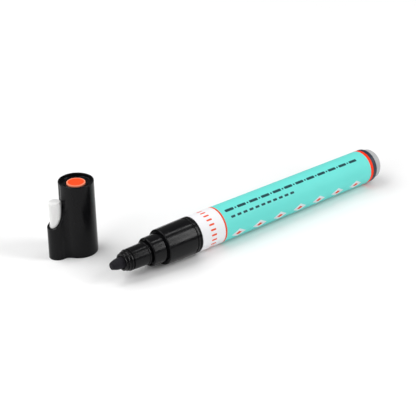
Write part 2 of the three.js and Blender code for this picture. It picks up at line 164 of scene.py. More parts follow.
POCKET_ROOT = 0.6 * MM  # how deep the pocket's block starts inside the body's wall
SCOOP_MOUTH = 13.3 * MM
SCOOP_DIP_RUN = 1.9 * MM
SCOOP_DIP = 0.9 * MM
SCOOP_STEEP_RUN = 4 * MM
SCOOP_TOP = 23.2 * MM
SCOOP_SKIM = 0.1 * MM  # how far the scoop's end goes into the body
MOUTH_BEVEL = 0.14 * MM
MOUTH_BELOW = 1 * MM  # the bevel starts this far below the pocket's mouth
MOUTH_SHORT = 5 * MM  # and ends this far below the scoop's top
MOUTH_CLEAR = 0.15 * MM  # and this far outside the body
FOOT_CLEAR = 0.05 * MM  # the foot's rounded edge too stays outside the body
DISC_PEG_RADIUS = 1.4 * MM
DISC_THICKNESS = 0.6 * MM
DISC_RIM_WIDTH = 0.55 * MM
DISC_RIM_SLOPE = 0.05 * MM
DISC_RIM_HEIGHT = 0.08 * MM
# how wide the painted highlight on the disc's rim fades in
DISC_HIGHLIGHT_FADE = 0.1 * MM

# Soft cup inside the cap
LINER_BORE = 4.63 * MM
LINER_WALL = 0.6 * MM
LINER_FLANGE_WIDTH = 0.33 * MM
LINER_FLANGE_LENGTH = 2 * MM
LINER_DEPTH = 11.45 * MM
LINER_STEP_RADIUS = 3 * MM
LINER_STEP_DEPTH = 4.85 * MM
LINER_END = 1.2 * MM
LINER_POST_RADIUS = 2 * MM

# Valve and spring
SEAT_HOLE_RADIUS = 2.1 * MM
STEM_RADIUS = 1.5 * MM
STEM_HEAD_THICKNESS = 1.8 * MM
GUIDE_RADIUS = 1.1 * MM
CAGE_FLANGE_WIDTH = 0.5 * MM
CAGE_FLANGE_LENGTH = 1.5 * MM
CAGE_WALL = 1 * MM
CAGE_END_WALL = 1.6 * MM
CAGE_HOLE_RADIUS = 1.3 * MM
WINDOW_COUNT = 4
WINDOW_WIDTH = 2.6 * MM
WINDOW_FRONT = 4 * MM  # from the cage's front
WINDOW_REAR = 4.1 * MM  # from the cage's rear
SPRING_WIRE_RADIUS = 0.3 * MM
SPRING_TURNS = 6

# Colours: the lighter and the darker tone where a finish has two
BLACK = (0.003, 0.003, 0.0035)
BARREL_TONES = ((0.012, 0.021, 0.043), (0.009, 0.015, 0.032))
PLUG_TONES = ((0.47, 0.475, 0.48), (0.40, 0.405, 0.41))
INKED_TONES = ((0.009, 0.008, 0.0135), (0.003, 0.0028, 0.0045))
CLEAN_TONES = ((0.90, 0.90, 0.89), (0.78, 0.78, 0.77))
STEEL_TONES = ((0.62, 0.63, 0.64), (0.48, 0.49, 0.5))
LINER = (0.66, 0.66, 0.64)
RUBBER = (0.02, 0.02, 0.02)
VALVE = (0.62, 0.63, 0.62)
DISC = (0.92, 0.075, 0.010)
# paler orange, painted all round the disc's rim as a highlight
DISC_RIM_HIGHLIGHT = (0.95, 0.28, 0.16)
WHITE = (0.84, 0.84, 0.86)
ORANGE = (0.78, 0.072, 0.012)
STRIPE = (1.0, 0.034, 0.001)
TEAL = (0.155, 0.74, 0.675)
INK = (0.012, 0.06, 0.07)
PALE = (0.70, 0.74, 0.76)

# The label's print. Lengths are counted from its front, turns round the barrel from its top.
PRINT_EDGE = 0.04 * MM  # half the softness of a printed edge
LOZENGE_EDGE = 0.04  # the same for a lozenge, as a share of its size
LINE_START = 11.3 * MM
LINE_WIDTH = 0.85 * MM
STRIPE_WIDTH = 1.6 * MM
MARKS_FRONT = 3 * MM  # from the thin line to the first mark
MARKS_REAR = 4 * MM  # from the last mark to the stripe
ROW_PLACE = 2.3 * MM
ROW_TURN = 3.3 * MM
ROW_PITCH = 6.4 * MM
LONG_BAR = {"length": 4.4 * MM, "width": 1.25 * MM, "round_end": 0.35 * MM}
DOT = {"length": 0.9 * MM, "width": 0.9 * MM, "round_end": 0.45 * MM}
DOTS_SHORT = 3 * MM  # the dots end before the bars do
SHORT_TURN = 6.5 * MM
SHORT_PITCH = 3.2 * MM
SHORT_START = 0.7 * MM
SHORT_END = 35.9 * MM
SHORT_BAR = {"length": 2.1 * MM, "width": 0.95 * MM, "round_end": 0.3 * MM}
LOZENGE_PLACE = 4.3 * MM
LOZENGE_TURN = 14.6 * MM
LOZENGE_PITCH = 11.2 * MM
LOZENGE = {"length": 7.4 * MM, "width": 4.4 * MM}
LOZENGE_SPOT = {"length": 3.2 * MM, "width": 1.9 * MM}
PANEL_PLACE = 58 * MM
PANEL_TURN = 12.5 * MM
PANEL = {"length": 46 * MM, "width": 9.4 * MM, "round_end": 1.2 * MM}
PANEL_MARGINS = (2 * MM, 0.9 * MM)
PANEL_SLANT = 0.3
PANEL_PITCHES = (5.2 * MM, 1.9 * MM)
PANEL_BAR = {"length": 4.3 * MM, "width": 0.55 * MM, "round_end": 0.2 * MM}
BAND_PLACE = 5.6 * MM
BAND_COUNT = 22
BAND_BAR = {"length": 2.6 * MM, "width": 0.75 * MM, "round_end": 0.35 * MM}
SEAM_TURN = 20.5 * MM
SEAM_HALF_WIDTH = 1.1 * MM

# Camera, floor and light. A glow goes from one strength to another between two distances.
LENS = 86.35
SENSOR_WIDTH = 36
CLIP_START = 0.01
CAMERA_PLACE = (-0.2389, -0.2815, 0.2002)
CAMERA_AIM = (-0.0003, 0.0096, 0)
FLOOR_SIZE = 40
FLOOR_COLOUR = 0.93
FLOOR_ROUGHNESS = 0.5
NEAR_GLOW = {"low": 0.01, "high": 0.38, "start": 0.08, "end": 0.5}
FAR_GLOW = {"low": 0.0, "high": 0.4, "start": 0.45, "end": 1.3}
WORLD_STRENGTH = 0.24
ON_COLLAR = (-0.035, -0.014, 0.008)
ACROSS = (0, 1, 0)
# Each lamp's name, place, aim, width, length, radiance and the direction of its length
SOFTBOXES = (
    ("overhead", (-0.25, 0.27, 0.52), (-0.04, 0, 0), 0.48, 0.48, 3.5, ACROSS),
    ("front", (0.435, -0.514, 0.468), ON_COLLAR, 0.16, 0.62, 12.0, (0, 0.68, 0.73)),
    ("top_strip", (0.495, 0.016, 0.858), ON_COLLAR, 0.25, 0.10, 9.0, ACROSS),
    ("left", (-0.75, -0.1, 0.5), (0, 0, 0), 0.5, 0.5, 2.9, ACROSS),
)

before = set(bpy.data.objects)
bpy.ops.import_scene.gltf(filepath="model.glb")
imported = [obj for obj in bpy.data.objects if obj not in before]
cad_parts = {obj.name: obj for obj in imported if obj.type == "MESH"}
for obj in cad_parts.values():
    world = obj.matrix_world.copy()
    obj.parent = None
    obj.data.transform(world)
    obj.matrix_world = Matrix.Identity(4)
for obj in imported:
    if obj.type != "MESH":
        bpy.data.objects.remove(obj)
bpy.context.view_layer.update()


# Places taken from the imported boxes


def middle(node):
    low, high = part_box(node)
    return (low + high) / 2


AXIS = middle("label_sleeve")
CAP_AXIS = middle("cap_disc")
COLLAR_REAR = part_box("label_sleeve")[0].x - PRESS_GAP
SHOULDER = COLLAR_REAR - COLLAR_LENGTH
NECK_FACE = SHOULDER - NECK_LENGTH


# Helpers for modelling


def deselect():
    bpy.ops.object.select_all(action="DESELECT")


def choose(piece):
    """Makes one piece the selected and active one."""
    deselect()
    piece.select_set(True)
    bpy.context.view_layer.objects.active = piece


def edit(piece):
    choose(piece)
    bpy.ops.object.mode_set(mode="EDIT")


def start_outline(name, place):
    """Adds a piece that is a single vertex, ready in edit mode."""
    deselect()
    bpy.ops.mesh.primitive_plane_add(size=MM, location=(0, 0, 0))
    piece = bpy.context.object
    piece.name = piece.data.name = name
    bpy.ops.object.mode_set(mode="EDIT")
    bpy.ops.mesh.select_mode(type="VERT")
    bpy.ops.mesh.merge(type="CENTER")
    bpy.ops.transform.translate(value=place)
    return piece


def extrude_vertex(step):
    bpy.ops.mesh.extrude_vertices_move(TRANSFORM_OT_translate={"value": step})


def pick(piece, kind, wanted):
    """Selects, in edit mode, the vertices or edges for which wanted(it) is true."""
    mesh = bmesh.from_edit_mesh(piece.data)
    bpy.ops.mesh.select_mode(type=kind)
    bpy.ops.mesh.select_all(action="DESELECT")
    for part in mesh.verts if kind == "VERT" else mesh.edges:
        part.select_set(bool(wanted(part)))
    mesh.select_flush_mode()
    bmesh.update_edit_mesh(piece.data)


def ends(edge):
    return [vertex.co for vertex in edge.verts]


def close_surface(merge=MERGE):
    """Merges doubles, closes the surface and turns its faces outwards. It ends in object mode."""
    bpy.ops.mesh.select_all(action="SELECT")
    bpy.ops.mesh.remove_doubles(threshold=merge)
    bpy.ops.mesh.normals_make_consistent(inside=False)
    bpy.ops.object.mode_set(mode="OBJECT")


def fill_open_edges():
    bpy.ops.mesh.select_all(action="DESELECT")
    bpy.ops.mesh.select_non_manifold()
    bpy.ops.mesh.fill_holes(sides=0)


def smooth(piece, angle=CRISP):
    """Smooth shading with crisp edges, and flats that stay flat beside small rounds."""
    choose(piece)
    bpy.ops.object.shade_smooth_by_angle(angle=math.radians(angle))
    weighted = piece.modifiers.new("weighted", "WEIGHTED_NORMAL")
    weighted.keep_sharp = True
    weighted.weight = FACE_WEIGHT
    bpy.ops.object.modifier_apply(modifier=weighted.name)


def turn(name, corners, centre, along_x, steps=BODY_STEPS, closed=False):
    """A turned piece: draws its outline and spins it about its axis.

    Each corner is (place along the axis, radius) or (place, radius, round). An outline that isn't closed
    starts and ends on the axis.
    """

    def place(along, radius):
        if along_x:
            return Vector((along, centre.y, centre.z + radius))
        return Vector((centre.x + radius, centre.y, along))

    points = [place(corner[0], corner[1]) for corner in corners]
    piece = start_outline(name, points[0])
    for before, after in zip(points, points[1:]):
        extrude_vertex(after - before)

    def pick_places(places):
        pick(piece, "VERT", lambda vertex: any((vertex.co - spot).length < SAME_PLACE for spot in places))

    if closed:
        pick_places((points[0], points[-1]))
        bpy.ops.mesh.edge_face_add()
    for radius in sorted({corner[2] for corner in corners if len(corner) > 2}):
        pick_places([p for p, corner in zip(points, corners) if len(corner) > 2 and corner[2] == radius])
        bpy.ops.mesh.bevel(
            offset_type="OFFSET",
            offset=radius,
            segments=ROUND_SEGMENTS,
            affect="VERTICES",
            clamp_overlap=True,
        )
    bpy.ops.mesh.select_all(action="SELECT")
    axis = (1, 0, 0) if along_x else (0, 0, 1)
    bpy.ops.mesh.spin(steps=steps, angle=2 * math.pi, center=centre, axis=axis)
    close_surface()
    return piece


def cut(piece, cutter, operation="DIFFERENCE"):
    """A boolean between two pieces, which takes the second one away."""
    choose(piece)
    modifier = piece.modifiers.new("cut", "BOOLEAN")
    modifier.operation = operation
    modifier.solver = "EXACT"
    modifier.object = cutter
    bpy.ops.object.modifier_apply(modifier=modifier.name)
    bpy.data.objects.remove(cutter)


def dress(piece, body, slot, material, *nodes):
    """Gives a piece its material, the body that it rides on and the nodes that it replaces."""
    piece.data.materials.clear()
    piece.data.materials.append(material)
    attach(piece, body)
    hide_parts(*nodes)


# Shader expressions


class Wire:
    """A shader socket that stands in an expression: wire * 2 adds a Math node."""

    def __init__(self, tree, socket):
        self.tree = tree
        self.socket = socket

    def math(self, operation, *values):
        return add_node(self.tree, "ShaderNodeMath", dict(enumerate(values)), operation=operation)

    def __add__(self, other):
        return self.math("ADD", self, other)

    def __sub__(self, other):
        return self.math("SUBTRACT", self, other)

    def __rsub__(self, other):
        return self.math("SUBTRACT", other, self)

    def __mul__(self, other):
        return self.math("MULTIPLY", self, other)

    def __truediv__(self, other):
        return self.math("DIVIDE", self, other)

    def __gt__(self, other):
        return self.math("GREATER_THAN", self, other)

    def __lt__(self, other):
        return self.math("LESS_THAN", self, other)

    def __abs__(self):
        return self.math("ABSOLUTE", self)

    __radd__ = __add__
    __rmul__ = __mul__

    def beyond(self, least):
        """How far the value is beyond a least value, or 0."""
        return self.math("MAXIMUM", self - least, 0.0)

    def repeat(self, period):
        """The value counted from the middle of the period that it is in."""
        return self.math("WRAP", self, 0.5 * period, -0.5 * period)

    def length_with(self, other):
        """The length of the slope whose two sides are this value and another."""
        return self.math("SQRT", self * self + other * other)

    def spread(self, low, high, start=0.0, end=1.0):
        """The value taken from the range start to end to the range low to high."""
        inputs = {0: self, 1: start, 2: end, 3: low, 4: high}
        return add_node(self.tree, "ShaderNodeMapRange", inputs)


def add_node(tree, kind, inputs=None, output=0, **settings):
    """Adds a node: its settings first, then the values or wires of its sockets."""
    node = tree.nodes.new(kind)
    for name, value in settings.items():
        setattr(node, name, value)
    for socket, value in (inputs or {}).items():
        if isinstance(value, Wire):
            tree.links.new(value.socket, node.inputs[socket])
        else:
            node.inputs[socket].default_value = value
    return Wire(tree, node.outputs[output])


def shade(colour, factor):
    return tuple(factor * channel for channel in colour)


class Finish:
    """One procedural material. Patterns read Object coordinates, in metres."""

    def __init__(self, name, roughness, metallic=0.0, specular=0.5):
        self.material = bpy.data.materials.new(name)
        self.material.use_nodes = True
        self.tree = self.material.node_tree
        self.tree.nodes.clear()
        self.shader = self.tree.nodes.new("ShaderNodeBsdfPrincipled")
        output = self.tree.nodes.new("ShaderNodeOutputMaterial")
        self.tree.links.new(self.shader.outputs["BSDF"], output.inputs["Surface"])
        self.shader.inputs["Roughness"].default_value = roughness
        self.shader.inputs["Metallic"].default_value = metallic
        self.shader.inputs["Specular IOR Level"].default_value = specular
        self.place = self.add("ShaderNodeTexCoord", output="Object")

    def add(self, kind, inputs=None, **settings):
        return add_node(self.tree, kind, inputs, **settings)

    def mapped(self, location=(0, 0, 0), scale=(1, 1, 1)):
        """Object coordinates from a place on the piece, scaled."""
        inputs = {"Vector": self.place, "Location": location, "Scale": scale}
        return self.add("ShaderNodeMapping", inputs)

    def axes(self, vector=None):
        """The three numbers of a vector, as wires."""
        split = self.add("ShaderNodeSeparateXYZ", {"Vector": vector or self.place}).socket.node
        return [Wire(self.tree, socket) for socket in split.outputs]

    def noise(self, size, detail=2.0, stretch=(1, 1, 1)):
        """Noise from 0 to 1 whose patches are about this size, in metres."""
        vector = self.mapped(scale=tuple(1 / (size * s) for s in stretch))
        inputs = {"Vector": vector, "Scale": 1.0, "Detail": detail}
        return self.add("ShaderNodeTexNoise", inputs)

    def mix(self, share, first, second):
        """A colour from the first to the second as share goes from 0 to 1."""
        first, second = (colour if isinstance(colour, Wire) else (*colour, 1) for colour in (first, second))
        inputs = {0: share, 6: first, 7: second}
        return self.add("ShaderNodeMix", inputs, output=2, data_type="RGBA")

    def link(self, socket, value):
        self.tree.links.new(value.socket, self.shader.inputs[socket])

    def bump(self, height, depth):
        """Relief of this depth, in metres, where height goes from 0 to 1."""
        inputs = {"Height": height, "Strength": 1.0, "Distance": depth}
        self.link("Normal", self.add("ShaderNodeBump", inputs))


# Materials


def black_plastic(name):
    finish = Finish(name, roughness=0.2, specular=0.14)
    cloud = finish.noise(size=6 * MM)
    grain = finish.noise(size=0.16 * MM, detail=3)
    scuff = finish.noise(size=1.2 * MM, detail=5, stretch=(3, 1, 1))
    finish.link("Base Color", finish.mix(cloud, BLACK, shade(BLACK, 1.5)))
    finish.link("Roughness", scuff.spread(low=0.15, high=0.26, start=0.3, end=0.7))
    finish.bump(grain, depth=0.002 * MM)
    return finish.material


def natural_plastic(name, light, dark):
    finish = Finish(name, roughness=0.42)
    cloud = finish.noise(size=2.5 * MM)
    grain = finish.noise(size=0.2 * MM, detail=3)
    finish.link("Base Color", finish.mix(cloud, light, dark))
    finish.link("Roughness", cloud.spread(low=0.36, high=0.5, start=0.3, end=0.7))
    finish.bump(grain, depth=0.004 * MM)
    return finish.material


def fibre(name, light, dark, along):
    """Bonded fibre: fine streaks along the nib and small pores."""
    finish = Finish(name, roughness=0.8, specular=0.3)
    streaks = finish.noise(size=0.12 * MM, detail=3, stretch=along)
    pores = finish.noise(size=0.25 * MM, detail=4)
    finish.link("Base Color", finish.mix(streaks * 0.6 + pores * 0.4, dark, light))
    finish.link("Roughness", pores.spread(low=0.65, high=0.95, start=0.3, end=0.7))
    finish.bump(streaks + pores, depth=0.03 * MM)
    return finish.material


def plain_moulding(name, colour, roughness):
    finish = Finish(name, roughness=roughness)
    cloud = finish.noise(size=1.5 * MM)
    finish.link("Base Color", finish.mix(cloud, colour, shade(colour, 0.85)))
    finish.link("Roughness", cloud.spread(low=roughness - 0.05, high=roughness + 0.08))
    finish.bump(finish.noise(size=0.15 * MM, detail=3), depth=0.005 * MM)
    return finish.material


def disc_plastic(flat):
    """Orange moulding whose raised rim, outside the flat's radius, is painted paler as a highlight."""
    finish = Finish("disc_plastic", roughness=0.5, specular=0.18)
    x, y = finish.axes(finish.mapped(location=(-CAP_AXIS.x, -CAP_AXIS.y, 0)))[:2]
    # The rim's paler colour is a painted highlight, faded in outside the flat's radius
    rim = x.length_with(y).spread(low=0.0, high=1.0, start=flat, end=flat + DISC_HIGHLIGHT_FADE)
    cloud = finish.noise(size=1.5 * MM)
    colour = finish.mix(cloud, DISC, shade(DISC, 0.88))
    finish.link("Base Color", finish.mix(rim, colour, DISC_RIM_HIGHLIGHT))
    finish.link("Roughness", cloud.spread(low=0.46, high=0.58))
    finish.bump(finish.noise(size=0.15 * MM, detail=3), depth=0.005 * MM)
    return finish.material


def steel(name, roughness, stretch):
    finish = Finish(name, roughness=roughness, metallic=1.0)
    drawn = finish.noise(size=0.1 * MM, detail=3, stretch=stretch)
    light, dark = STEEL_TONES
    finish.link("Base Color", finish.mix(drawn, dark, light))
    finish.link("Roughness", drawn.spread(low=roughness - 0.05, high=roughness + 0.1))
    return finish.material


def bar(u, v, length, width, round_end):
    """1 inside a bar with rounded corners round u = v = 0, with a soft edge."""
    across = abs(v).beyond(width / 2 - round_end)
    along = abs(u).beyond(length / 2 - round_end)
    distance = along.length_with(across)
    return distance.spread(low=1.0, high=0.0, start=round_end - PRINT_EDGE, end=round_end + PRINT_EDGE)


def lozenge(u, v, length, width):
    """1 inside a lozenge round u = v = 0, with a soft edge."""
    distance = abs(u) / (length / 2) + abs(v) / (width / 2)
    return distance.spread(low=1.0, high=0.0, start=1 - LOZENGE_EDGE, end=1 + LOZENGE_EDGE)


def within(value, start, end):
    return (value > start) * (value < end)


def label_film(box):
    """Printed film: a white band, a thin orange line, a turquoise field and an orange rear stripe."""
    finish = Finish("label_film", roughness=0.5, specular=0.2)
    low, high = box
    radius = (high.z - low.z) / 2
    length = high.x - low.x
    x, y, z = finish.axes()
    u = x - low.x
    # Round the barrel from its top, positive towards -Y
    v = x.math("ARCTAN2", AXIS.y - y, z - AXIS.z) * radius
    field = finish.mix(finish.noise(size=9 * MM), TEAL, shade(TEAL, 0.94))
    colour = finish.mix(u > LINE_START, WHITE, ORANGE)
    colour = finish.mix(u > LINE_START + LINE_WIDTH, colour, field)

    # On the near side, a row of long dark bars with dots between them, and a row of short ones
    first = LINE_START + MARKS_FRONT
    last = length - STRIPE_WIDTH - MARKS_REAR
    marked = within(u, first, last)
    row = u - first - ROW_PLACE
    row_turn = v - ROW_TURN
    dark = bar(row.repeat(ROW_PITCH), row_turn, **LONG_BAR) * marked
    dots = bar((row - ROW_PITCH / 2).repeat(ROW_PITCH), row_turn, **DOT)
    dots = dots * within(u, first, last - DOTS_SHORT)
    short = bar(row.repeat(SHORT_PITCH), v - SHORT_TURN, **SHORT_BAR)
    short = short * within(u, first + SHORT_START, first + SHORT_END)
    colour = finish.mix(dark + dots + short, colour, INK)

    # Below them, a row of pale lozenges, each with an orange spot
    step = (u - first - LOZENGE_PLACE).repeat(LOZENGE_PITCH)
    for size, tone in ((LOZENGE, PALE), (LOZENGE_SPOT, ORANGE)):
        colour = finish.mix(lozenge(step, v - LOZENGE_TURN, **size) * marked, colour, tone)

    # A pale panel on the far side, with rows of short dark bars
    panel_u, panel_v = u - PANEL_PLACE, v + PANEL_TURN
    colour = finish.mix(bar(panel_u, panel_v, **PANEL), colour, PALE)
    slanted = panel_u + PANEL_SLANT * panel_v
    lines = bar(slanted.repeat(PANEL_PITCHES[0]), panel_v.repeat(PANEL_PITCHES[1]), **PANEL_BAR)
    inside = abs(panel_u) < PANEL["length"] / 2 - PANEL_MARGINS[0]
    inside = inside * (abs(panel_v) < PANEL["width"] / 2 - PANEL_MARGINS[1])
    colour = finish.mix(lines * inside, colour, INK)

    # Short orange bars all round the white band, and the stripe
    around = v.repeat(2 * math.pi * radius / BAND_COUNT)
    colour = finish.mix(bar(u - BAND_PLACE, around, **BAND_BAR), colour, ORANGE)
    colour = finish.mix(u > length - STRIPE_WIDTH, colour, STRIPE)
    finish.link("Base Color", colour)

    sheen = finish.noise(size=0.5 * MM, detail=4)
    finish.link("Roughness", sheen.spread(low=0.45, high=0.58, start=0.3, end=0.7))
    # The film overlaps itself in one seam under the barrel
    overlap = abs(v + SEAM_TURN) < SEAM_HALF_WIDTH
    finish.bump(overlap + 0.2 * finish.noise(size=2.2 * MM, detail=1), depth=0.05 * MM)
    return finish.material


# The marker's pieces


def make_barrel():
    low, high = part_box("barrel")
    outer = (high.z - low.z) / 2
    skin = outer - LABEL_THICKNESS - PRESS_GAP
    bore = skin - BARREL_WALL
    corners = [
        (low.x, bore),
        (low.x, skin),
        (high.x - BARREL_RIM_LENGTH, skin),
        (high.x - BARREL_RIM_LENGTH, outer, BARREL_STEP_ROUND),
        (high.x, outer, BARREL_RIM_ROUND),
        (high.x, bore),
    ]
    piece = turn("barrel_tube", corners, AXIS, True, closed=True)
    smooth(piece)
    material = natural_plastic("barrel_plastic", *BARREL_TONES)
    dress(piece, "barrel", "barrel_plastic", material, "barrel")


def make_label():
    box = low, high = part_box("label_sleeve")
    outer = (high.z - low.z) / 2
    inner = outer - LABEL_THICKNESS + SINK
    corners = [
        (low.x, inner),
        (low.x, outer, FAINT_ROUND),
        (high.x, outer, FAINT_ROUND),
        (high.x, inner),
    ]
    piece = turn("label_film", corners, AXIS, True, closed=True)
    smooth(piece)
    dress(piece, "barrel", "label_film", label_film(box), "label_sleeve")


def make_end_plug():
    low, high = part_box("end_plug")
    head = (high.z - low.z) / 2
    face = high.x - PLUG_HEAD_LENGTH
    spigot = PLUG_SEAL_RADIUS - PLUG_SEAL_HEIGHT
    inside = spigot - PLUG_WALL
    corners = [
        (high.x - PLUG_HEAD_WALL, 0),
        (high.x - PLUG_HEAD_WALL, inside, SOFT_ROUND),
        (low.x, inside),
        (low.x, spigot, EDGE_ROUND),
        (face, spigot),
        (face, head, EDGE_ROUND),
        (high.x, head, PLUG_HEAD_ROUND),
        (high.x, PLUG_DISH_RADIUS, FIRM_ROUND),
        (high.x - PLUG_DISH_DEPTH, PLUG_FLAT_RADIUS, FIRM_ROUND),
        (high.x - PLUG_DISH_DEPTH, 0),
    ]
    piece = turn("rear_plug", corners, AXIS, True)
    smooth(piece)
    material = natural_plastic("plug_plastic", *PLUG_TONES)
    dress(piece, "barrel", "natural_plastic", material, "end_plug")


def make_collar(black):
    low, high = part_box("front_collar")
    body = (high.z - low.z) / 2
    hole = NOZZLE_RADIUS + PRESS_GAP
    recess = hole + NECK_RECESS_WIDTH
    undercut = NECK_ROOT_RADIUS - UNDERCUT_DEPTH
    spigot = body - SPIGOT_DROP
    corners = [
        (NECK_FACE + NECK_RECESS_DEPTH, hole),
        (NECK_FACE + NECK_RECESS_DEPTH, recess),
        (NECK_FACE, recess, RIB_ROUND),
        (NECK_FACE, NECK_FRONT_RADIUS, NECK_FRONT_ROUND),
        (SHOULDER - UNDERCUT_WIDTH, NECK_ROOT_RADIUS, RIB_ROUND),
        (SHOULDER - UNDERCUT_WIDTH, undercut),
        (SHOULDER, undercut),
        (SHOULDER, COLLAR_FRONT_RADIUS, COLLAR_FRONT_ROUND),
    ]
    for i in range(BEAD_COUNT, 0, -1):
        start = COLLAR_REAR - i * (BEAD_WIDTH + GROOVE_WIDTH)
        corners += [
            (start, body, BEAD_ROUND),
            (start, body - GROOVE_DEPTH),
            (start + GROOVE_WIDTH, body - GROOVE_DEPTH),
            (start + GROOVE_WIDTH, body, BEAD_ROUND),
        ]
    corners += [
        (COLLAR_REAR, body, BEAD_ROUND),
        (COLLAR_REAR, spigot),
        (high.x, spigot, BROAD_ROUND),
        (high.x, spigot - SPIGOT_WALL),
        (COLLAR_REAR - VALVE_DEPTH, spigot - SPIGOT_WALL),
        (COLLAR_REAR - VALVE_DEPTH, hole),
    ]
    piece = turn("collar_and_neck", corners, AXIS, True, closed=True)
    smooth(piece)
    dress(piece, "barrel", "black_plastic", black, "front_collar")


def make_nozzle(black):
    low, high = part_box("nozzle")
    front = low.x
    hole = NIB_RADIUS + SLIDE_GAP
    bead = NECK_FACE - NOZZLE_BEAD_PLACE
    bead_radius = NOZZLE_RADIUS + NOZZLE_BEAD_HEIGHT
    corners = [(front, hole, NOZZLE_LIP_ROUND)]
    for i in range(RIB_COUNT):
        start = front + i * RIB_PITCH
        radius = RIB_FRONT_RADIUS + (NOZZLE_FRONT_RADIUS - RIB_FRONT_RADIUS) * i / (RIB_COUNT - 1)
        root = max(radius - RIB_DEPTH, hole + RIB_DEPTH)
        if i:
            corners.append((start, root))
        corners += [
            (start, radius, RIB_ROUND),
            (start + RIB_WIDTH, radius, RIB_ROUND),
            (start + RIB_WIDTH, root),
        ]
    barrel_front = front + RIB_COUNT * RIB_PITCH
    corners += [
        (barrel_front, NOZZLE_FRONT_RADIUS - RIB_DEPTH),
        (barrel_front, NOZZLE_FRONT_RADIUS, RIB_ROUND),
        (bead, NOZZLE_RADIUS),
        (bead, bead_radius, NOZZLE_BEAD_ROUND),
        (bead + NOZZLE_BEAD_WIDTH, bead_radius, NOZZLE_BEAD_ROUND),
        (bead + NOZZLE_BEAD_WIDTH, NOZZLE_RADIUS),
        (high.x, NOZZLE_RADIUS, SOFT_ROUND),
        (high.x, hole),
    ]
    piece = turn("nib_holder", corners, AXIS, True, closed=True)
    smooth(piece)
    dress(piece, "barrel", "black_plastic", black, "nozzle")


def nib_corners(tip, rear):
    """A nib with a blunt cone at its tip and a front part that is a little thinner than its shank."""
    front_radius = NIB_RADIUS - NIB_STEP
    front_end = tip + NIB_FRONT_LENGTH
    return [
        (tip, 0),
        (tip, NIB_FLAT_RADIUS - NIB_STEP, SOFT_ROUND),
        (tip + NIB_TIP_LENGTH, front_radius, NIB_SHOULDER_ROUND),
        (front_end, front_radius),
        (front_end + NIB_STEP, NIB_RADIUS),
        (rear, NIB_RADIUS, WIDE_ROUND),
        (rear, 0),
    ]


def make_nib():
    low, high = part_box("nib")
    piece = turn("fibre_nib", nib_corners(low.x, high.x), AXIS, True, steps=INNER_STEPS)
    smooth(piece, SOFT_CRISP)
    material = fibre("inked_fibre", *INKED_TONES, along=(14, 1, 1))
    dress(piece, "nib", "inked_fibre", material, "nib")


# The cap and the spare nib in its pocket


def cap_place(distance, angle):
    """A place on the table, round the cap's axis. Its angle is counted from the pocket."""
    turned = CAP_TURN + angle
    return Vector((CAP_AXIS.x + distance * math.cos(turned), CAP_AXIS.y + distance * math.sin(turned), 0))


def radius_at(z):
    """The cap's radius at a height: it narrows evenly towards the top."""
    return CAP_RIM_RADIUS + (CAP_TOP_RADIUS - CAP_RIM_RADIUS) * z / CAP_HEIGHT


def from_axis(place):
    return (place - CAP_AXIS).xy.length


def sweep(angle, centre, steps=FILLET_STEPS):
    """Draws an arc on from the selected vertex, counterclockwise where the angle is positive."""
    bpy.ops.mesh.spin(steps=steps, angle=-angle, center=centre, axis=(0, 0, 1))


def make_cap_body(height):
    """The cap's turned body: bored inside, with a well and its ledge on top."""
    well = CAP_TOP_RADIUS - WELL_WALL
    floor = height - WELL_DEPTH
    ledge_top = floor + LEDGE_HEIGHT
    ledge_edge = LEDGE_RADIUS + LEDGE_WIDTH
    ceiling = floor - WELL_FLOOR
    corners = [
        (0, MOUTH_RADIUS, EDGE_ROUND),
        (0, CAP_RIM_RADIUS, FIRM_ROUND),
        (height, CAP_TOP_RADIUS, FIRM_ROUND),
        (height, well, FIRM_ROUND),
        (floor, well, FIRM_ROUND),
        (floor, ledge_edge),
        (ledge_top, ledge_edge, LEDGE_ROUND),
        (ledge_top, LEDGE_RADIUS, LEDGE_ROUND),
        (floor, LEDGE_RADIUS),
        (floor, PEG_HOLE_RADIUS),
        (floor - PEG_HOLE_DEPTH, PEG_HOLE_RADIUS),
        (floor - PEG_HOLE_DEPTH, 0),
        (ceiling, 0),
        (ceiling, THROAT_RADIUS, WIDE_ROUND),
        (MOUTH_DEPTH, THROAT_RADIUS, FINE_ROUND),
        (MOUTH_DEPTH, MOUTH_RADIUS),
        (SNAP_PLACE + SNAP_WIDTH, MOUTH_RADIUS, EDGE_ROUND),
        (SNAP_PLACE + SNAP_WIDTH / 2, MOUTH_RADIUS - SNAP_HEIGHT, EDGE_ROUND),
        (SNAP_PLACE, MOUTH_RADIUS, EDGE_ROUND),
    ]
    return turn("cap_body", corners, CAP_AXIS, False, closed=True)


